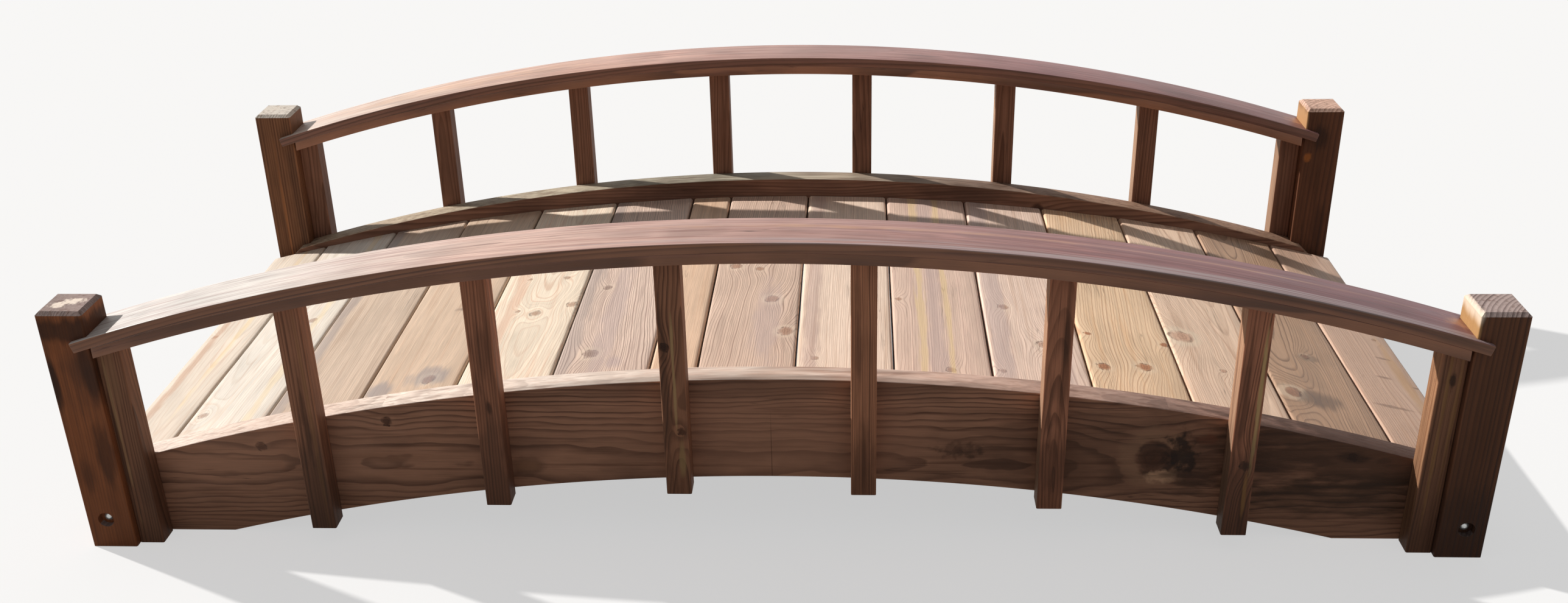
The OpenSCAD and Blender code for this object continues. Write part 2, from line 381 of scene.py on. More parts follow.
def board_group(rings):
    """The whole face of a weathered board: rings, fibres, streaks, stains, checks, a top bleached and lit
    with painted sunlight, and sides darkened by grime and painted shade
    """
    tree, entry, leave = new_group(
        "weathered board",
        dict(
            RING_INPUTS, marks=ORIGIN, pale=(0.5, 0.4, 0.3, 1), line=(0.3, 0.2, 0.1, 1), line_strength=0.6,
            streak=(0.4, 0.3, 0.2, 1), streak_amount=0.4, stain=(0.2, 0.18, 0.17, 1), stain_amount=0.2,
            knot=(0.15, 0.07, 0.03, 1), knot_strength=0.7, crack=(0.03, 0.02, 0.015, 1),
            top=(0.6, 0.5, 0.4, 1), top_line=(0.4, 0.3, 0.25, 1), bleach=0.0, bleached_way=UP, top_grain=0.0,
            checks=0.3, mottle=0.5, fibre=0.55, halo=(0.8, 0.7, 0.6, 1), halo_amount=0.5, wear=0.0, foot=0.0,
            grime=0.0, dullness=0.6,
        ),
        dict(colour=WHITE, roughness=0.5, height=0.0),
    )
    seed = entry["Seed"]
    place = entry["Place"]
    ring = placed(tree, rings, **{key: entry[label_of(key)] for key in RING_INPUTS})
    late = times(tree, ring["Late"], entry["Line Strength"])
    fibre = cloud(tree, place, FIBRES, seed)["Fac"]
    streak = cloud(tree, place, STREAKS, seed, 3.0)["Fac"]
    blotch = cloud(tree, place, BLOTCHES, seed, 4.0)["Fac"]

    normal = add_node(tree, "NewGeometry")["Normal"]
    facing = parts_of(tree, vectors(tree, "ABSOLUTE", normal))
    # Faces turned the bleached way take the top colours: sun bleaching and painted sunlight. For the
    # balusters that way is the sun's, so their lit sides are painted light.
    sunny = fade(tree, vectors(tree, "DOT_PRODUCT", normal, entry["Bleached Way"]), 0.45, 0.68)
    bleach = times(tree, sunny, entry["Bleach"])
    side = mixed(tree, late, entry["Pale"], entry["Line"])
    furrow = fade(tree, cloud(tree, place, FURROWS, seed)["Fac"], 0.46, 0.62)
    furrow = times(tree, furrow, entry["Top Grain"])
    across_years = rest_of(tree, times(tree, entry["Top Grain"], 0.75))
    top_late = maths(tree, "MAXIMUM", times(tree, late, across_years), furrow)
    top = mixed(tree, top_late, entry["Top"], entry["Top Line"])
    colour = mixed(tree, bleach, side, top)

    core, rim, halo = parts_of(tree, entry["Marks"])
    for mask, amount, tint in (
        (fade(tree, streak, 0.5, 0.72), "Streak Amount", "Streak"),
        (fade(tree, blotch, 0.5, 0.74), "Stain Amount", "Stain"),
        (halo, "Halo Amount", "Halo"),
        (core, "Knot Strength", "Knot"),
        (rim, "Knot Strength", "Crack"),
    ):
        colour = mixed(tree, times(tree, mask, entry[amount]), colour, entry[tint])

    tone = 1.0
    for share, amount in ((ring["Year"], 0.14), (fibre, entry["Fibre"]), (blotch, entry["Mottle"])):
        tone = maths(tree, "MULTIPLY_ADD", minus(tree, share, 0.5), amount, tone)
    below_face = parts_of(tree, place)["Z"]
    above_ground = parts_of(tree, add_node(tree, "TexCoord")["Object"])["Z"]
    # Darker down a plank's sides below its face: grime and painted shade in the joints. Darker towards the
    # bottom of a piece, nearer the ground.
    for clean, amount in (
        (fade(tree, below_face, -0.01, -0.002), "Grime"),
        (fade(tree, above_ground, -0.02, 0.36), "Foot"),
    ):
        dirty = times(tree, rest_of(tree, clean), entry[amount])
        tone = times(tree, tone, rest_of(tree, dirty))
    upright_corner = times(tree, facing["X"], facing["Y"])
    corner = maths(tree, "MAXIMUM", upright_corner, times(tree, facing["Y"], facing["Z"]))
    worn = times(tree, fade(tree, corner, 0.1, 0.4), fade(tree, streak, 0.42, 0.6))
    tone = maths(tree, "MULTIPLY_ADD", times(tree, worn, entry["Wear"]), tone, tone)
    colour = mixed(tree, 1.0, colour, vector_of(tree, tone, tone, tone), "MULTIPLY")

    crack = cloud(tree, place, HAIR_CRACKS, seed, 1.0)["Fac"]
    crack = maths(tree, "ABSOLUTE", minus(tree, crack, 0.5))
    where = cloud(tree, place, CRACKED_PARTS, plus(tree, seed, 5.0), 1.0)["Fac"]
    where = fade(tree, where, 0.56, 0.66)
    crack = times(tree, rest_of(tree, fade(tree, crack, 0.0, 0.02)), where)
    crack = times(tree, crack, entry["Checks"])
    feed(tree, leave["Colour"], mixed(tree, crack, colour, entry["Crack"]))

    dull = maths(tree, "MULTIPLY_ADD", minus(tree, fibre, 0.5), 0.3, entry["Dullness"])
    feed(tree, leave["Roughness"], minus(tree, dull, times(tree, late, 0.1)))
    height = plus(tree, times(tree, late, 0.5), times(tree, fibre, 0.5))
    feed(tree, leave["Height"], minus(tree, height, maths(tree, "MAXIMUM", crack, rim)))
    return tree


BENT_BOARD = bent_board_group()
KNOT = knot_group()
SMEAR = smear_group()
BOARD = board_group(rings_group())

# How a board's across, along and out lie in the bridge
LEVEL = Matrix.Identity(3)
UPRIGHT = Matrix.Rotation(QUARTER, 3, "X")
LENGTHWISE = Matrix(((0, 1, 0), (0, 0, 1), (1, 0, 0)))
ALL_ALONG = 9.0
COLOURS = ("pale", "line", "streak", "stain", "knot", "crack", "top", "top_line", "halo")


def smear(across, along, wide, long, tint, amount, out=0.0, deep=ALL_ALONG, ragged=0.7, tears=TEARS):
    centre = (across, along, out)
    reach = (wide, long, deep)
    return dict(centre=centre, reach=reach, tint=dye(*tint), amount=amount, ragged=ragged, tears=tears)


def heart(across, out, lean_across, lean_out):
    """Where a board's pith lies and how far it moves in each metre along the board"""
    return dict(pith=(across, 0, out), lean=(lean_across, 0, lean_out))


def board_material(
    name, centre, turn, knots=(), smears=(), swirl=1.6, bend=None, crown_at=None, top_along=None, gloss=0.3,
    **look
):
    """A wood material whose grain is centred and turned to its own board"""
    material, tree, shader = new_material(name)
    look.update({key: dye(*look[key]) for key in COLOURS if key in look})
    shader["Specular IOR Level"].default_value = gloss
    place = add_node(tree, "TexCoord")["Object"]
    place = add_node(tree, "Mapping", place, centre, turn.to_euler(), vector_type="TEXTURE")["Vector"]
    if bend:
        place = placed(tree, BENT_BOARD, place=place, radius=bend)["Place"]
    grain = place
    if crown_at:
        above = maths(tree, "GREATER_THAN", parts_of(tree, place)["X"], crown_at)
        grain = vectors(tree, "MULTIPLY_ADD", vector_of(tree, above, above, above), CROWN_SHIFT, place)
    if top_along:
        along = maths(tree, "MULTIPLY_ADD", parts_of(tree, place)["Y"], 0.5 / POST_END_X, 0.5)
        look["top"] = toned(tree, along, top_along)
        look["top_line"] = mixed(tree, 1.0, look["top"], look["top_line"], "MULTIPLY")
    knot = {"Push": 0.0, "Marks": ORIGIN}
    for across, along, size in knots:
        knot = placed(
            tree, KNOT, place=place, centre=(across, along, 0), size=size, swirl=swirl,
            push=knot["Push"], marks=knot["Marks"],
        )
    board = placed(tree, BOARD, place=grain, push=knot["Push"], marks=knot["Marks"], **look)
    colour = board["Colour"]
    for patch in smears:
        colour = placed(tree, SMEAR, colour=colour, place=place, seed=look["seed"], **patch)["Colour"]
    feed(tree, shader["Base Color"], colour)
    feed(tree, shader["Roughness"], board["Roughness"])
    relief = tree.nodes.new("ShaderNodeBump")
    relief.inputs["Strength"].default_value = RELIEF_STRENGTH
    relief.inputs["Distance"].default_value = RELIEF_DEPTH
    feed(tree, relief.inputs["Height"], board["Height"])
    feed(tree, shader["Normal"], relief.outputs["Normal"])
    return material


def dress(piece, material):
    if piece.material_slots:
        for slot in piece.material_slots:
            slot.material = material
    else:
        piece.data.materials.append(material)


# Modelling
SMOOTH_ANGLE = math.radians(35)


def close_mesh():
    bpy.ops.object.mode_set(mode="OBJECT")


def start_clean():
    if bpy.context.object and bpy.context.object.mode == "EDIT":
        close_mesh()
    bpy.ops.object.select_all(action="DESELECT")


def take(piece):
    start_clean()
    piece.select_set(True)
    bpy.context.view_layer.objects.active = piece


def open_mesh(piece):
    """Goes into edit mode with everything selected"""
    take(piece)
    bpy.ops.object.mode_set(mode="EDIT")
    bpy.ops.mesh.select_all(action="SELECT")


def put_in_mesh():
    """Puts the new piece's place, turn and size into its mesh"""
    bpy.ops.object.transform_apply(location=True, rotation=True, scale=True)


def turn_faces_out(piece):
    open_mesh(piece)
    bpy.ops.mesh.normals_make_consistent(inside=False)
    close_mesh()


def add_block(name, low, high):
    start_clean()
    low, high = Vector(low), Vector(high)
    bpy.ops.mesh.primitive_cube_add(size=1, location=(low + high) / 2, scale=high - low)
    put_in_mesh()
    piece = bpy.context.object
    piece.name = name
    return piece


def add_drum(centre, radius, length):
    start_clean()
    bpy.ops.mesh.primitive_cylinder_add(
        vertices=ARC_SIDES, radius=radius, depth=length, location=centre, rotation=(QUARTER, 0, 0)
    )
    put_in_mesh()
    return bpy.context.object


def select_edges(piece, wanted):
    """Goes into edit mode with only the edges selected whose two ends meet the wanted test"""
    take(piece)
    bpy.ops.object.mode_set(mode="EDIT")
    bpy.ops.mesh.select_mode(type="EDGE")
    bpy.ops.mesh.select_all(action="DESELECT")
    mesh = bmesh.from_edit_mesh(piece.data)
    for edge in mesh.edges:
        edge.select_set(wanted(edge.verts[0].co, edge.verts[1].co))
    bmesh.update_edit_mesh(piece.data)


def round_selected(radius):
    bpy.ops.mesh.bevel(offset=radius, segments=4, profile=0.5, affect="EDGES")
    close_mesh()


def apply_modifier(piece, kind, **settings):
    take(piece)
    modifier = piece.modifiers.new(kind.lower(), kind)
    for key, value in settings.items():
        setattr(modifier, key, value)
    bpy.ops.object.modifier_apply(modifier=modifier.name)


def cut_with(piece, tool, operation):
    apply_modifier(piece, "BOOLEAN", object=tool, operation=operation, solver="EXACT")
    bpy.data.objects.remove(tool)


def cut_off(piece, place, outward):
    """Cuts away what lies beyond a plane and closes the cut"""
    open_mesh(piece)
    bpy.ops.mesh.bisect(plane_co=place, plane_no=outward, clear_outer=True, use_fill=True)
    close_mesh()


def ease_edges(piece, radius, segments=2, angle=50):
    apply_modifier(
        piece, "BEVEL", width=radius, segments=segments, limit_method="ANGLE", angle_limit=math.radians(angle)
    )


def finish_piece(piece, node, material):
    turn_faces_out(piece)
    bpy.ops.object.shade_smooth_by_angle(angle=SMOOTH_ANGLE)
    dress(piece, material)
    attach(piece, "root")
    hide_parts(node)


# Beams

def model_beam(name, side):
    near = side * BEAM_LOW.y
    far = side * BEAM_HIGH.y
    beam = add_block(
        name, (-BEAM_HIGH.x, min(near, far), 0), (BEAM_HIGH.x, max(near, far), BEAM_HIGH.z + BEAM_CUT)
    )
    long_drum = 4 * (BEAM_HIGH.y - BEAM_LOW.y)
    cut_with(beam, add_drum((0, side * BEAM_Y, BEAM_CENTRE_Z), BEAM_R, long_drum), "INTERSECT")
    cut_with(beam, add_drum((0, side * BEAM_Y, BEAM_CENTRE_Z - BEAM_DEPTH), BEAM_R, long_drum), "DIFFERENCE")
    cut_x = BEAM_HIGH.x - BEAM_CUT
    cut_z = BEAM_HIGH.z - arc_fall(BEAM_R, cut_x)
    for end in ENDS:
        cut_off(beam, (end * cut_x, 0, cut_z), (end, 0, 1))
    ease_edges(beam, BEAM_EDGE_R, segments=3)
    return beam


# Handrails

def sweep_rail(name, side, top_r):
    """Spins a rail layer's section along the arc, from the left end to the right"""
    start_clean()
    centre = Vector((0, side * RAIL_Y, RAIL_CENTRE_Z))
    middle = centre + UP * (top_r - RAIL_LAYER_T / 2)
    bpy.ops.mesh.primitive_plane_add(size=1, location=middle, rotation=(0, QUARTER, 0))
    rail = bpy.context.object
    rail.name = name
    rail.scale = (RAIL_LAYER_T, RAIL_W, 1)
    put_in_mesh()
    to_left_end = Matrix.Rotation(-RAIL_HALF_TURN, 4, "Y")
    rail.matrix_world = Matrix.Translation(centre) @ to_left_end @ Matrix.Translation(-centre)
    put_in_mesh()
    open_mesh(rail)
    bpy.ops.mesh.spin(steps=RAIL_STEPS, angle=-2 * RAIL_HALF_TURN, center=centre, axis=(0, 1, 0))
    turn_faces_out(rail)
    return rail


def out_from_arc(point):
    return math.hypot(point.x, point.z - RAIL_CENTRE_Z)


def model_rail_cap(name, side):
    """The upper layer: ends square to the arc, eased above, notched round the posts"""
    cap = sweep_rail(name, side, RAIL_R)
    seam_r = RAIL_R - RAIL_LAYER_T

    def eased(first, second):
        low = max(out_from_arc(first), out_from_arc(second)) < seam_r + RAIL_SEAM_R
        at_side = all(abs(abs(end.y) - RAIL_Y) > RAIL_W / 2 - RAIL_SEAM_R for end in (first, second))
        along = abs(first.x - second.x) > RAIL_SEAM_R and abs(first.y - second.y) < RAIL_SEAM_R
        turn = [math.asin(end.x / out_from_arc(end)) for end in (first, second)]
        at_end = all(abs(abs(angle) - RAIL_HALF_TURN) < RAIL_SEAM_R for angle in turn)
        return not low and (at_end or (at_side and along))

    select_edges(cap, eased)
    round_selected(RAIL_EDGE_R)
    for end in ENDS:
        xs = sorted((end * POST_INNER_X, end * POST_END_X))
        ys = sorted((side * POST_LOW.y, side * POST_HIGH.y))
        post_room = add_block("post_room", (xs[0], ys[0], 0), (xs[1], ys[1], CAP_HIGH.z))
        cut_with(cap, post_room, "DIFFERENCE")
    ease_edges(cap, RAIL_SEAM_R)
    return cap


def model_rail_lower_layer(name, side):
    layer = sweep_rail(name, side, RAIL_R - RAIL_LAYER_T)
    for end in ENDS:
        cut_off(layer, (end * (POST_INNER_X - RAIL_LOWER_IN), 0, 0), (end, 0, 0))
    ease_edges(layer, RAIL_SEAM_R)
    return layer


# Deck

def plank_layout():
    """Middle and width of each plank from left to right, along the deck's arc"""
    pitch = PLANK_W + PLANK_GAP
    half = DECK_R * math.asin((POST_END_X + DECK_OUT) / DECK_R)
    left = FILLER_AT - FILLER_W / 2 - PLANK_GAP
    right = FILLER_AT + FILLER_W / 2 + PLANK_GAP
    left_rest = half + left - FULL_LEFT * pitch
    right_rest = half - right - FULL_RIGHT * pitch
    planks = [(left_rest / 2 - half, left_rest)]
    planks += [(left - step * pitch - PLANK_W / 2, PLANK_W) for step in reversed(range(FULL_LEFT))]
    planks += [(FILLER_AT, FILLER_W)]
    planks += [(right + step * pitch + PLANK_W / 2, PLANK_W) for step in range(FULL_RIGHT)]
    planks += [(half - right_rest / 2, right_rest)]
    return planks


def plank_place(middle):
    turn = Matrix.Rotation(middle / DECK_R, 3, "Y")
    return turn @ Vector((0, 0, DECK_R)) + Vector((0, 0, DECK_CENTRE_Z)), turn


def model_plank(name, middle, width, unevenness):
    """A plank with eased long edges, a little uneven, laid square to the deck's arc"""
    plank = add_block(name, (-width / 2, -PLANK_L / 2, -PLANK_T), (width / 2, PLANK_L / 2, 0))
    for way, size, cuts in ((1, PLANK_L, PLANK_CUTS_ALONG), (0, width, PLANK_CUTS_ACROSS)):
        select_edges(plank, lambda first, second: abs(first[way] - second[way]) > size / 2)
        bpy.ops.mesh.subdivide(number_cuts=cuts)
        close_mesh()

    def top_side(first, second):
        at_side = all(abs(abs(end.x) - width / 2) < PLANK_ROOM for end in (first, second))
        return at_side and min(first.z, second.z) > -PLANK_ROOM

    select_edges(plank, top_side)
    round_selected(PLANK_EDGE_R)
    ease_edges(plank, PLANK_END_R, angle=60)
    place, turn = plank_place(middle)
    plank.matrix_world = Matrix.Translation(place) @ turn.to_4x4()
    take(plank)
    put_in_mesh()
    apply_modifier(
        plank, "DISPLACE", texture=unevenness, texture_coords="LOCAL", strength=PLANK_UNEVEN, mid_level=0.5
    )
    return plank


# Looks of the deck, plank by plank from the left: colours are for dye, a knot is across, along, size
CREAM_BAND = (236, 206, 148)
GREY_BAND = (150, 138, 134)
MAUVE_GREY = (180, 160, 160)
BLUE_STAIN = (122, 122, 132)


def short_mark(across, along, wide, long=0.007):
    return smear(across, along, wide, long, (129, 99, 84), 0.6)


DECK_LOOK = dict(
    spacing=0.0042, waver=0.006, wave_length=0.35, thin=0.55, line_strength=0.6, streak_amount=0.35,
    stain_amount=0.2, line=(150, 112, 86), streak=(190, 150, 120), stain=(150, 132, 124),
    knot=(160, 112, 82), knot_strength=0.6, crack=(74, 50, 40), checks=0.4, dullness=0.55, grime=0.35,
    halo=(246, 226, 200), halo_amount=0.7,
)
# The five left planks have darker sides: grime with more painted shade in the joints, which face away from
# the sun.
PLANK_LOOKS = [
    dict(
        pale=(222, 207, 190), line=(188, 151, 121), **heart(0.02, -0.1, 0.0, 0.02),
        grime=0.6, line_strength=0.35, streak=(182, 138, 103), knots=[(-0.048, 0.036, 0.008)],
        smears=[
            smear(-0.045, -0.12, 0.016, 0.5, (178, 128, 92), 0.55),
            smear(0.02, 0.1, 0.012, 0.6, CREAM_BAND, 0.4),
        ],
    ),
    dict(
        pale=(231, 221, 208), line=(194, 164, 133), **heart(-0.05, -0.09, 0.02, 0.03),
        grime=0.6, line_strength=0.35, stain_amount=0.05,
        knots=[(-0.067, -0.394, 0.011), (0.036, 0.01, 0.012)],
        smears=[smear(0.05, 0.0, 0.014, ALL_ALONG, CREAM_BAND, 0.35)],
    ),
    dict(
        pale=(207, 184, 163), line=(155, 120, 93), **heart(0.3, -0.1, 0.0, 0.01), spacing=0.005,
        grime=0.6, line_strength=0.38, streak=(163, 132, 108), knots=[(0.0, 0.27, 0.01)],
        smears=[smear(-0.08, 0.0, 0.022, ALL_ALONG, GREY_BAND, 0.6)],
    ),
    dict(
        pale=(212, 186, 162), line=(183, 148, 119), **heart(-0.25, -0.06, 0.03, 0.0),
        grime=0.6, line_strength=0.24, stain_amount=0.1, knots=[(0.031, -0.39, 0.015)],
        smears=[
            smear(-0.07, -0.417, 0.04, 0.05, BLUE_STAIN, 0.55),
            smear(0.03, -0.38, 0.06, 0.05, BLUE_STAIN, 0.5),
            smear(0.03, -0.06, 0.03, 0.012, (117, 97, 90), 0.5),
        ],
    ),
    dict(
        pale=(244, 227, 205), line=(200, 147, 114), **heart(0.01, -0.06, 0.01, 0.05),
        grime=0.6, line_strength=0.45, streak=(216, 169, 139), stain_amount=0.05,
        knots=[
            (0.007, -0.122, 0.012), (-0.042, 0.064, 0.006), (0.046, 0.055, 0.008), (0.083, -0.093, 0.012),
            (-0.036, -0.105, 0.006),
        ],
        smears=[smear(-0.055, 0.05, 0.02, 0.5, (222, 175, 147), 0.5)],
    ),
    dict(
        pale=(229, 203, 186), line=(111, 81, 69), **heart(0.13, -0.06, -0.04, 0.05),
        line_strength=0.85, waver=0.01, streak=(166, 138, 128), knot=(126, 97, 83),
        knots=[(-0.044, -0.016, 0.01), (-0.032, -0.339, 0.016)],
        smears=[
            smear(-0.085, 0.0, 0.03, ALL_ALONG, GREY_BAND, 0.5),
            smear(-0.01, -0.2, 0.03, 0.5, MAUVE_GREY, 0.35),
            smear(0.02, -0.38, 0.03, 0.04, MAUVE_GREY, 0.5),
        ],
    ),
    dict(
        pale=(226, 193, 165), line=(195, 149, 115), **heart(0.2, -0.03, 0.0, 0.02),
        line_strength=0.35, stain_amount=0.05,
    ),
    dict(
        pale=(222, 193, 173), line=(114, 82, 68), **heart(-0.14, -0.06, 0.03, 0.04),
        line_strength=0.7, waver=0.009, streak=(168, 138, 124),
        knots=[(-0.054, 0.071, 0.013), (0.0, 0.055, 0.01), (0.037, -0.106, 0.015), (0.072, -0.262, 0.016)],
        smears=[smear(0.03, -0.2, 0.04, 0.25, MAUVE_GREY, 0.35)],
    ),
    dict(
        pale=(252, 226, 205), line=(167, 127, 101), **heart(0.22, -0.07, 0.02, 0.02),
        knots=[(-0.06, -0.38, 0.008), (0.06, -0.18, 0.005)],
        smears=[smear(-0.07, 0.0, 0.022, ALL_ALONG, (181, 151, 143), 0.5)],
    ),
    dict(
        pale=(232, 202, 183), line=(158, 120, 106), **heart(-0.12, -0.05, 0.0, 0.03),
        streak=(193, 160, 148), knots=[(-0.082, -0.093, 0.008), (0.016, -0.408, 0.01)],
        smears=[
            smear(-0.035, 0.0, 0.012, ALL_ALONG, CREAM_BAND, 0.5, ragged=1.4, tears=BAND_TEARS),
            smear(0.022, 0.0, 0.01, ALL_ALONG, CREAM_BAND, 0.5, ragged=1.4, tears=BAND_TEARS),
            smear(-0.005, 0.0, 0.024, ALL_ALONG, MAUVE_GREY, 0.4, ragged=0.8),
        ],
    ),
    dict(
        pale=(247, 219, 200), line=(166, 124, 107), **heart(0.12, -0.08, 0.03, 0.05),
        knots=[(-0.051, -0.101, 0.012), (0.02, -0.266, 0.014), (-0.077, -0.398, 0.008)],
        smears=[
            smear(-0.07, 0.0, 0.03, ALL_ALONG, MAUVE_GREY, 0.45),
            smear(0.05, -0.3, 0.03, 0.3, MAUVE_GREY, 0.3),
        ],
    ),
    dict(
        pale=(242, 209, 174), line=(164, 114, 79), **heart(0.25, -0.05, 0.09, 0.02), spacing=0.0065,
        line_strength=0.65, streak=(228, 176, 126), stain_amount=0.05, knot=(172, 102, 60),
        knot_strength=0.8,
        knots=[
            (-0.077, -0.194, 0.008), (-0.063, -0.338, 0.013), (0.024, -0.319, 0.015), (0.085, -0.204, 0.01),
        ],
    ),
    dict(
        pale=(243, 212, 186), line=(184, 142, 115), **heart(0.04, -0.08, -0.02, 0.03),
        knot=(205, 155, 128), knots=[(-0.063, -0.15, 0.024), (-0.001, -0.285, 0.007)],
    ),
    dict(
        pale=(189, 155, 129), line=(114, 85, 66), **heart(-0.04, -0.07, 0.03, 0.04),
        line_strength=0.85, stain=(131, 108, 91), stain_amount=0.45, knot=(167, 119, 97),
        knots=[(-0.063, -0.33, 0.018), (0.014, -0.146, 0.009)],
        smears=[
            smear(-0.015, -0.345, 0.06, 0.05, (97, 81, 72), 0.65),
            smear(0.02, -0.15, 0.03, 0.02, (102, 85, 74), 0.5),
        ],
    ),
    dict(
        pale=(214, 180, 157), line=(172, 129, 107), **heart(0.06, -0.1, 0.02, 0.02),
        line_strength=0.7, knots=[(0.044, 0.025, 0.005)],
        smears=[
            short_mark(-0.02, -0.309, 0.06, 0.008), smear(0.05, -0.2, 0.02, 0.3, (199, 157, 111), 0.5),
            short_mark(0.03, -0.07, 0.022), short_mark(0.003, -0.17, 0.02), short_mark(0.072, -0.19, 0.018),
        ],
    ),
]

# Looks of the dark-stained pieces; the balusters' are from the left
BLACKENED = (28, 20, 18)
DIRT = (42, 29, 24)


# A dark smear: dirt on most pieces, painted shade on the front rail's edge and the front left post's top.
def dirt(across, along, wide, long, amount, **more):
    return smear(across, along, wide, long, DIRT, amount, **more)


# On the dark-stained pieces the pale top colours on upward faces are sun bleaching and painted sunlight.
STAINED = dict(
    spacing=0.006, waver=0.005, wave_length=0.35, line_strength=0.85, streak_amount=0.55, stain_amount=0.45,
    pale=(160, 112, 85), line=(78, 50, 37), streak=(96, 62, 45), stain=(62, 43, 36),
    knot=(66, 38, 28), knot_strength=0.8, crack=(30, 20, 16), checks=0.5, dullness=0.62,
    bleach=0.85, wear=0.35, top=(202, 172, 158), top_line=(150, 116, 104), mottle=1.1,
    halo=(190, 140, 108), halo_amount=0.25, gloss=0.14,
)
BEAM_LOOKS = {
    "front": dict(
        pale=(188, 138, 111), line=(80, 53, 41), top_line=(206, 190, 184), top_grain=0.45, thin=0.45,
        halo=(216, 166, 132), halo_amount=0.55,
        **heart(-0.062, 0.052, 0.004, 0.012), spacing=0.0105, waver=0.016, wave_length=0.24, swirl=0.7,
        # The top's near-white left half is painted glare with bleaching.
        top_along=[
            (0.0, 255, 243, 231), (0.5, 255, 242, 229),
            (0.62, 229, 200, 185), (0.9, 155, 123, 113),
        ],
        knots=[
            (-0.045, 0.735, 0.035), (-0.03, -1.007, 0.01), (0.028, -0.749, 0.01), (-0.03, 0.36, 0.009),
            (-0.042, 1.11, 0.009),
        ],
        smears=[
            smear(-0.03, 0.68, 0.14, 0.5, (58, 40, 31), 0.45, ragged=0.5),
            smear(-0.04, 0.785, 0.056, 0.04, BLACKENED, 0.9, ragged=1.2, tears=BLOTS),
            smear(-0.088, 0.752, 0.018, 0.046, (232, 182, 146), 0.85, ragged=0.7, tears=BLOTS),
            smear(-0.005, 0.835, 0.016, 0.026, (134, 82, 60), 0.6, ragged=0.8, tears=BLOTS),
            dirt(-0.09, 0.82, 0.026, 0.1, 0.55, ragged=1.2),
            dirt(-0.03, 0.36, 0.022, 0.05, 0.6, ragged=1.2, tears=BLOTS),
            dirt(-0.071, -0.48, 0.026, 0.044, 0.55, ragged=0.3, tears=BLOTS),
            smear(-0.071, -0.48, 0.02, 0.036, (166, 120, 92), 0.75, ragged=0.25, tears=BLOTS),
            smear(-0.052, -0.75, 0.016, 0.13, (166, 120, 94), 0.5, ragged=0.5),
            smear(-0.03, 1.15, 0.14, 0.45, (56, 38, 29), 0.75),
            smear(-0.13, 1.15, 0.06, 0.35, (40, 31, 23), 0.55, ragged=0.8),
            smear(0.0, 0.02, 0.2, 0.4, (200, 146, 118), 0.34),
            smear(0.0, -0.98, 0.2, 0.3, (206, 158, 132), 0.2),
            dirt(0.115, 0.0, 0.06, 0.85, 0.36, out=-0.02, deep=0.02, ragged=0.4),
            dirt(-0.05, 0.0, 0.125, 0.0014, 0.45, ragged=0.1),
            dirt(-0.042, 1.11, 0.015, 0.05, 0.7, ragged=1.0),
        ],
    ),
    "back": dict(
        pale=(150, 110, 90), **heart(-0.03, -0.08, 0.01, 0.02), spacing=0.009, waver=0.016,
        wave_length=0.5, swirl=0.8, top_line=(192, 182, 178), top_grain=0.8,
        top_along=[
            (0.0, 196, 176, 150), (0.45, 214, 210, 188),
            (0.68, 184, 158, 140), (0.85, 178, 145, 122),
        ],
        knots=[(0.0, -0.5, 0.012), (0.04, 0.62, 0.014)],
        smears=[dirt(0.1, -0.25, 0.06, 0.25, 0.4), dirt(0.1, 0.45, 0.05, 0.2, 0.4)],
    ),
}
# The rail tops grow paler towards the left: bleaching, with painted glare at the near-white left end.
RAIL_LOOK = dict(
    **heart(0.01, -0.09, 0.01, 0.03), spacing=0.008, waver=0.01, wave_length=0.8,
    top_line=(206, 188, 188), top_grain=0.8, pale=(164, 115, 89),
    streak=(140, 98, 94), streak_amount=0.2, fibre=0.4, dullness=0.46, gloss=0.3,
    top_along=[
        (0.0, 241, 239, 234), (0.15, 245, 241, 234), (0.3, 242, 210, 195),
        (0.5, 202, 163, 154), (0.72, 163, 117, 118), (0.9, 136, 95, 104),
    ],
)
LOWER_LAYER_PITH = (0.2, 0, -0.03)
RAIL_STREAK = (116, 80, 84)


def on_top(across, along, wide, long, tint, amount=0.5, **more):
    """A patch on the top of a rail that leaves its sides alone"""
    return smear(across, along, wide, long, tint, amount, out=0.004, deep=0.008, **more)


def torn_streak(across, along, wide, long, tint=RAIL_STREAK):
    return on_top(across, along, wide, long, tint, ragged=1.1, tears=LONG_TEARS)


# Orange light painted on a rail's top beside the right post, as thrown back from the post's sunlit side.
ORANGE_GLOW = on_top(0.01, 1.28, 0.035, 0.05, (212, 160, 116), 0.45, tears=BLOTS)
RAIL_LOOKS = {
    "front": dict(
        smears=[
            smear(
                -0.05, 0.75, 0.026, 1.2, (186, 170, 170), 0.8, out=0.002, deep=0.006, ragged=1.1,
                tears=FINE_TEARS,
            ),
            torn_streak(-0.016, 0.75, 0.009, 0.9), torn_streak(0.01, 0.55, 0.007, 0.8),
            torn_streak(0.034, 0.8, 0.009, 0.8), torn_streak(0.022, 0.7, 0.005, 0.7, (208, 166, 142)),
            # A dark band under the rail's front top edge: painted shade.
            dirt(-0.06, 0.95, 0.007, 0.9, 0.5, out=-0.006, deep=0.008, ragged=0.4),
            on_top(0.02, 0.1, 0.012, 0.6, (206, 160, 128)), ORANGE_GLOW,
        ],
    ),
    "back": dict(
        pale=(140, 99, 83),
        # Paler towards the left end of the top: bleaching with painted glare.
        top_along=[
            (0.0, 241, 229, 217), (0.12, 239, 216, 199), (0.3, 234, 193, 174),
            (0.5, 202, 163, 154), (0.72, 166, 120, 120), (0.95, 151, 110, 108),
        ],
        smears=[on_top(0.01, -0.9, 0.05, 0.5, (226, 176, 136), 0.4), ORANGE_GLOW],
    ),
}
CHIPPED = (252, 234, 218)


def chip(across, wide, out):
    """A pale chip on the top of a post"""
    return smear(across, 0.26, wide, 0.006, CHIPPED, 0.95, out=out, deep=0.014, ragged=1.2, tears=FINE_BLOTS)


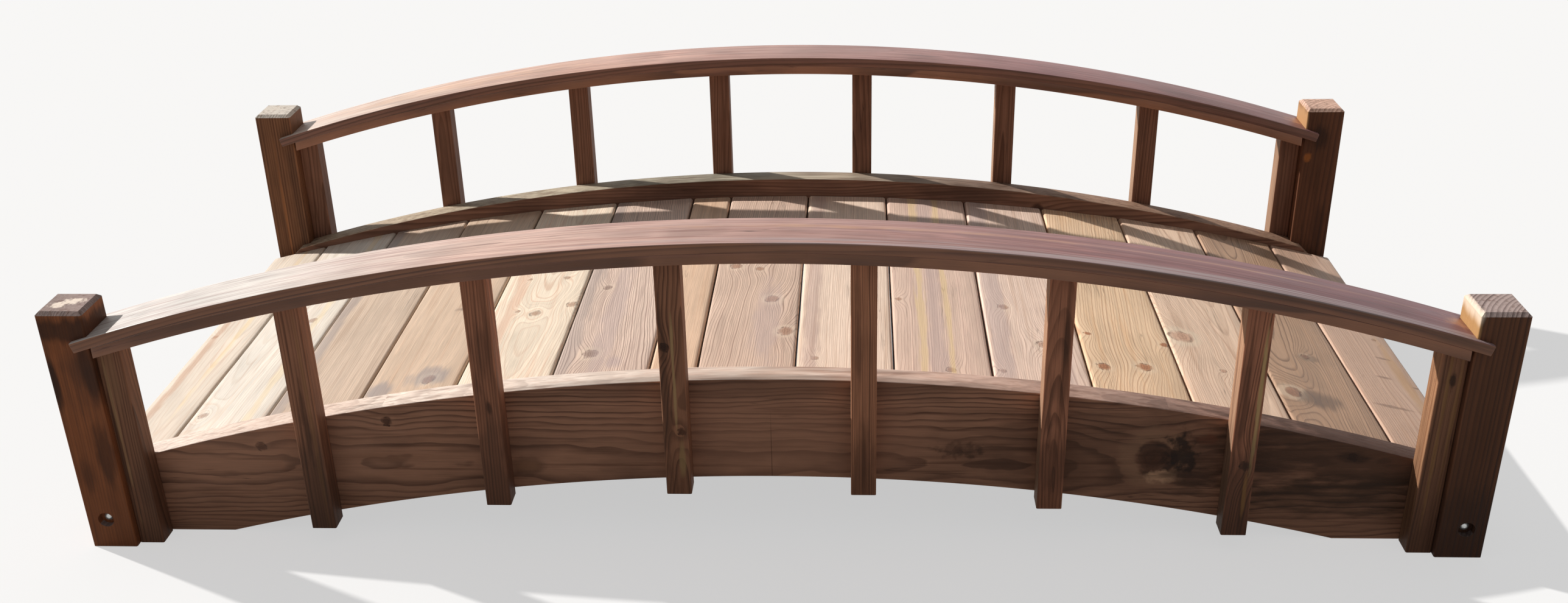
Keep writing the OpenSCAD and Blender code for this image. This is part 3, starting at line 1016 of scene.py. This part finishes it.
POST_LOOKS = {
    "front_left": dict(
        pale=(164, 100, 64), line=(118, 72, 48), line_strength=0.5, stain=(58, 42, 36),
        stain_amount=0.7, top=(166, 151, 147), top_line=(118, 103, 99), **heart(0.03, 0.05, 0.03, 0.02),
        smears=[
            # The first dark band round the top of the post is dark stain with painted shade on its shaded
            # sides.
            dirt(0.0, 0.222, 0.2, 0.034, 0.75), dirt(-0.038, 0.11, 0.016, 0.07, 0.85, ragged=0.6),
            dirt(0.034, 0.13, 0.022, 0.08, 0.6), dirt(0.025, -0.05, 0.022, 0.1, 0.6),
            dirt(-0.02, -0.1, 0.02, 0.06, 0.5),
            chip(-0.014, 0.019, 0.01), chip(0.0, 0.021, 0.0), chip(0.014, 0.019, -0.01),
        ],
    ),
    "front_right": dict(
        pale=(114, 75, 54), line=(48, 29, 22), **heart(0.17, 0.13, 0.0, 0.01), spacing=0.0085,
        top=(194, 175, 170), top_line=(72, 50, 48), thin=0.25, line_strength=0.95, stain_amount=0.5,
        smears=[
            # Painted sunlight on the post's left face above the rail: orange, cream near the top.
            smear(-0.046, 0.222, 0.008, 0.05, (188, 146, 98), 0.9, ragged=0.3),
            smear(-0.046, 0.262, 0.012, 0.035, (248, 230, 208), 0.7, ragged=0.3),
            dirt(0.0, -0.2, 0.2, 0.12, 0.45),
        ],
    ),
    "back_left": dict(
        pale=(142, 98, 70), line=(80, 51, 37), **heart(0.36, 0.28, 0.01, 0.0), spacing=0.0055,
        waver=0.002, top=(252, 244, 232), top_line=(174, 160, 143), thin=0.3,
        smears=[smear(-0.008, 0.0, 0.004, 0.3, (176, 116, 74), 0.6), dirt(0.03, 0.0, 0.014, 0.3, 0.4)],
    ),
    "back_right": dict(
        pale=(120, 78, 56), line=(70, 43, 32), **heart(0.1, 0.12, 0.02, 0.02), spacing=0.009,
        top=(240, 201, 181), top_line=(156, 110, 89),
        smears=[
            # Painted sunlight on the post's left face above the rail.
            smear(-0.046, 0.222, 0.008, 0.05, (192, 149, 105), 0.9, ragged=0.3),
            smear(-0.005, 0.19, 0.025, 0.05, BLACKENED, 0.55),
            smear(-0.03, 0.135, 0.012, 0.016, (190, 116, 60), 0.7, tears=BLOTS),
            dirt(0.02, -0.05, 0.02, 0.08, 0.4),
        ],
    ),
}
OCHRE = (172, 128, 82)
DARK_FOOT = smear(0.0, -0.24, 0.06, 0.3, (50, 44, 38), 0.5, ragged=0.5)
# The balusters' sides that face the sun take the pale top colours: painted sunlight with some bleaching.
SUN_REACH = 1.3
BALUSTER_LOOK = dict(
    top=(184, 148, 120), top_line=(150, 108, 82), bleached_way=SUN_REACH * TO_SUN, foot=0.45,
    lean=(0.02, 0, 0.03),
)
BALUSTER_PALE = {"front": (172, 120, 92), "back": (144, 103, 83)}
FRONT_BALUSTER_LOOKS = [
    dict(
        pale=(156, 110, 84), pith=(0.1, 0, 0.03),
        smears=[
            smear(-0.012, 0.06, 0.005, 0.22, (186, 148, 108), 0.6, ragged=0.9),
            smear(0.0, 0.16, 0.012, 0.12, (156, 116, 86), 0.5),
            smear(-0.018, 0.0, 0.005, 0.2, BLACKENED, 0.5),
        ],
    ),
    dict(
        pale=(184, 128, 99), pith=(-0.1, 0, 0.05), line_strength=0.6,
        smears=[
            smear(0.012, -0.05, 0.005, 0.4, OCHRE, 0.3), smear(0.0, 0.0, 0.008, 0.15, BLACKENED, 0.5),
            DARK_FOOT,
        ],
    ),
    dict(
        pale=(192, 130, 100), pith=(0.12, 0, 0.02), line_strength=0.65,
        smears=[
            dirt(0.0, 0.08, 0.02, 0.1, 0.4), smear(0.004, -0.03, 0.008, 0.02, BLACKENED, 0.6), DARK_FOOT,
        ],
    ),
    dict(
        **heart(0.02, 0.05, 0.06, 0.05), waver=0.012, knots=[(-0.012, 0.07, 0.009), (0.012, -0.11, 0.008)],
        smears=[
            smear(0.002, 0.02, 0.004, 0.16, (200, 166, 118), 0.7, ragged=0.9),
            smear(0.011, -0.17, 0.008, 0.06, (184, 150, 104), 0.6, ragged=0.9),
            smear(-0.015, -0.02, 0.012, 0.2, BLACKENED, 0.5, ragged=1.0),
        ],
    ),
    dict(
        pale=(206, 142, 108), line=(106, 70, 52), pith=(-0.16, 0, 0.02), spacing=0.0035, lean=(0, 0, 0),
        smears=[dirt(0.0, -0.22, 0.03, 0.18, 0.4), dirt(-0.01, 0.1, 0.01, 0.15, 0.35)],
    ),
    dict(
        pale=(198, 134, 104), **heart(0.004, 0.04, 0.0, 0.1), line_strength=0.65, waver=0.009,
        smears=[
            dirt(0.0, -0.15, 0.05, 0.08, 0.4),
            smear(-0.01, -0.06, 0.008, 0.1, BLACKENED, 0.5, ragged=1.0),
            dirt(0.012, 0.12, 0.008, 0.09, 0.55, ragged=1.0),
        ],
    ),
    dict(
        pale=(202, 136, 106), **heart(0.05, 0.05, 0.03, 0.04), knots=[(0.006, -0.092, 0.01)],
        smears=[
            smear(0.016, 0.06, 0.005, 0.22, (220, 186, 130), 0.8, ragged=0.9),
            dirt(-0.01, 0.05, 0.01, 0.15, 0.4), DARK_FOOT, smear(0.01, -0.16, 0.005, 0.06, OCHRE, 0.6),
        ],
    ),
    dict(
        pale=(156, 110, 84), pith=(-0.06, 0, 0.04), top=(168, 126, 94), top_line=(130, 88, 62),
        smears=[
            smear(-0.006, 0.06, 0.005, 0.3, OCHRE, 0.5), smear(0.014, 0.1, 0.006, 0.2, OCHRE, 0.45),
            smear(0.002, 0.155, 0.008, 0.025, BLACKENED, 0.8, tears=BLOTS),
        ],
    ),
]


# Where the patterns of each kind of board start, so that no two boards are alike
PLANK_SEED_STEP = 1.7
BEAM_SEED = 31.0
BEAM_SEED_STEP = 7.0
RAIL_SEED = 52.0
RAIL_SEED_STEP = 5.0
LAYER_SEED_STEP = 3.0
POST_SEED = 70.0
POST_SEED_STEP = 4.0
BALUSTER_SEED = 90.0
BALUSTER_SEED_STEP = 3.0


def make_deck():
    unevenness = bpy.data.textures.new("plank unevenness", "CLOUDS")
    unevenness.noise_scale = PLANK_UNEVEN_LENGTH
    for index, ((middle, width), own) in enumerate(zip(plank_layout(), PLANK_LOOKS)):
        number = f"{index + 1:02d}"
        plank = model_plank(f"weathered_plank_{number}", middle, width, unevenness)
        place, turn = plank_place(middle)
        look = {**DECK_LOOK, "seed": PLANK_SEED_STEP * index, **own}
        look["top"] = look["pale"]
        look["top_line"] = look["line"]
        material = board_material(f"deck plank {number}", place, turn, **look)
        finish_piece(plank, f"deck_plank_{number}", material)


def make_beams():
    centre_z = BEAM_HIGH.z - BEAM_DEPTH / 2 - BEAM_GRAIN_DROP
    for name, side in SIDES.items():
        look = {**STAINED, **BEAM_LOOKS[name], "crown_at": CROWN_JOINT_Z - centre_z}
        look["seed"] = BEAM_SEED + BEAM_SEED_STEP * side
        material = board_material(f"{name} beam", (0, side * BEAM_Y, centre_z), LENGTHWISE, **look)
        finish_piece(model_beam(f"{name}_arched_beam", side), f"{name}_beam", material)
        dress(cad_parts[f"{name}_ledger"], material)


def make_rails():
    for name, side in SIDES.items():
        centre = (0, side * RAIL_Y, RAIL_CENTRE_Z)
        look = {**STAINED, **RAIL_LOOK, "seed": RAIL_SEED + RAIL_SEED_STEP * side}
        cap_look = {**look, **RAIL_LOOKS[name]}
        cap_material = board_material(f"{name} rail cap", centre, LEVEL, bend=RAIL_R, **cap_look)
        look["seed"] += LAYER_SEED_STEP
        look["pith"] = LOWER_LAYER_PITH
        layer_material = board_material(f"{name} rail lower layer", centre, LEVEL, bend=RAIL_R, **look)
        finish_piece(model_rail_cap(f"{name}_bent_cap", side), f"{name}_rail_cap", cap_material)
        layer = model_rail_lower_layer(f"{name}_bent_lower_layer", side)
        finish_piece(layer, f"{name}_rail_lower_layer", layer_material)


def middle_of(node):
    low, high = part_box(node)
    return (low + high) / 2


def make_posts():
    for index, (corner, own) in enumerate(POST_LOOKS.items()):
        node = f"{corner}_post"
        look = {**STAINED, "seed": POST_SEED + POST_SEED_STEP * index, "foot": 0.3, **own}
        dress(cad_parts[node], board_material(f"{corner} post", middle_of(node), UPRIGHT, **look))


def make_balusters():
    for side_name, side in SIDES.items():
        for index in range(BALUSTERS):
            node = f"{side_name}_baluster_{index + 1}"
            pith = (0.05 * math.sin(2.3 * index + side), 0, 0.05 + 0.03 * math.cos(1.7 * index))
            look = {**STAINED, **BALUSTER_LOOK, "pale": BALUSTER_PALE[side_name], "pith": pith}
            look["seed"] = BALUSTER_SEED + BALUSTER_SEED_STEP * index + side
            if side_name == "front":
                look.update(FRONT_BALUSTER_LOOKS[index])
            name = f"{side_name} baluster {index + 1}"
            dress(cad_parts[node], board_material(name, middle_of(node), UPRIGHT, **look))


def zinc_material():
    material, tree, shader = new_material("galvanised bolts")
    shader["Metallic"].default_value = 0.85
    place = add_node(tree, "TexCoord")["Object"]
    spangle = cloud(tree, place, SPANGLES, 2.0, 3.0)["Fac"]
    feed(tree, shader["Base Color"], mixed(tree, spangle, dye(170, 172, 170), dye(226, 228, 226)))
    feed(tree, shader["Roughness"], plus(tree, times(tree, spangle, 0.3), 0.25))
    return material


# Stage
CAMERA_PLACE = (0.1642, -3.0570, 1.7148)
CAMERA_PITCH = 25.58
CAMERA_YAW = -3.05
CAMERA_ROLL = -1.30
CAMERA_LENS = 34.53
SUN_LEVEL = 4.65
SUN_SPREAD = 1.5
SUN_COLOUR = (1.0, 0.97, 0.93)
SUN_AWAY = 5
SKY_LEVEL = 0.20
FLOOR_SIZE = 80
FLOOR_SEEN = 0.90
FLOOR_BOUNCE = 0.34
FLOOR_GLOW = 0.55
# The floor glows less under the bridge, a painted shade, fading out along and across.
SHADED_GLOW = 0.13
SHADE_FADES_ALONG = (1.0, 1.3)
SHADE_FADES_ACROSS = (0.05, 0.34)


def add_camera():
    start_clean()
    bpy.ops.object.camera_add(location=CAMERA_PLACE)
    camera = bpy.context.object
    camera.name = "photo_camera"
    turn = (
        Matrix.Rotation(math.radians(-CAMERA_YAW), 3, "Z")
        @ Matrix.Rotation(math.radians(90 - CAMERA_PITCH), 3, "X")
        @ Matrix.Rotation(math.radians(CAMERA_ROLL), 3, "Z")
    )
    camera.rotation_euler = turn.to_euler()
    camera.data.sensor_fit = "HORIZONTAL"
    camera.data.sensor_width = 36
    camera.data.lens = CAMERA_LENS
    bpy.context.scene.camera = camera


def seen_directly(tree):
    """1 where the camera, a reflection or glass sees a surface, 0 for scattered light"""
    path = add_node(tree, "LightPath")
    seen = maths(tree, "MAXIMUM", path["Is Camera Ray"], path["Is Glossy Ray"])
    return maths(tree, "MAXIMUM", seen, path["Is Transmission Ray"])


def add_floor():
    """A pale floor that the camera sees half lit from within, so that shadows on it stay light, and that
    glows less under the bridge as a painted shade
    """
    start_clean()
    bpy.ops.mesh.primitive_plane_add(size=FLOOR_SIZE, location=(0, 0, 0))
    floor = bpy.context.object
    floor.name = "studio_floor"
    material, tree, shader = new_material("pale studio floor")
    shader["Specular IOR Level"].default_value = 0.0
    shader["Roughness"].default_value = 1.0
    shader["Emission Color"].default_value = WHITE
    seen = seen_directly(tree)
    bounce = (FLOOR_BOUNCE, FLOOR_BOUNCE, FLOOR_BOUNCE, 1)
    share = FLOOR_SEEN * (1 - FLOOR_GLOW)
    feed(tree, shader["Base Color"], mixed(tree, seen, bounce, (share, share, share, 1)))
    # Less glow under the bridge: painted shade on the floor.
    place = vectors(tree, "ABSOLUTE", add_node(tree, "TexCoord")["Object"])
    along, across, _ = parts_of(tree, place)
    past_ends = fade(tree, along, *SHADE_FADES_ALONG)
    open_floor = maths(tree, "MAXIMUM", past_ends, fade(tree, across, *SHADE_FADES_ACROSS))
    glow = maths(tree, "MULTIPLY_ADD", open_floor, FLOOR_GLOW - SHADED_GLOW, SHADED_GLOW)
    feed(tree, shader["Emission Strength"], times(tree, seen, glow))
    dress(floor, material)


def add_light():
    start_clean()
    bpy.ops.object.light_add(type="SUN", location=TO_SUN * SUN_AWAY)
    sun = bpy.context.object
    sun.name = "soft_key"
    sun.rotation_euler = TO_SUN.to_track_quat("Z", "Y").to_euler()
    sun.data.energy = SUN_LEVEL
    sun.data.angle = math.radians(SUN_SPREAD)
    sun.data.color = SUN_COLOUR
    world = bpy.context.scene.world or bpy.data.worlds.new("studio")
    bpy.context.scene.world = world
    world.use_nodes = True
    tree = world.node_tree
    sky = tree.nodes["Background"]
    sky.inputs["Color"].default_value = WHITE
    level = maths(tree, "MULTIPLY_ADD", seen_directly(tree), 1.0 - SKY_LEVEL, SKY_LEVEL)
    feed(tree, sky.inputs["Strength"], level)


add_camera()
add_floor()
add_light()
make_deck()
make_beams()
make_rails()
make_posts()
make_balusters()
dress(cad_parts["post_bolts"], zinc_material())
bpy.context.scene.view_settings.view_transform = "Standard"
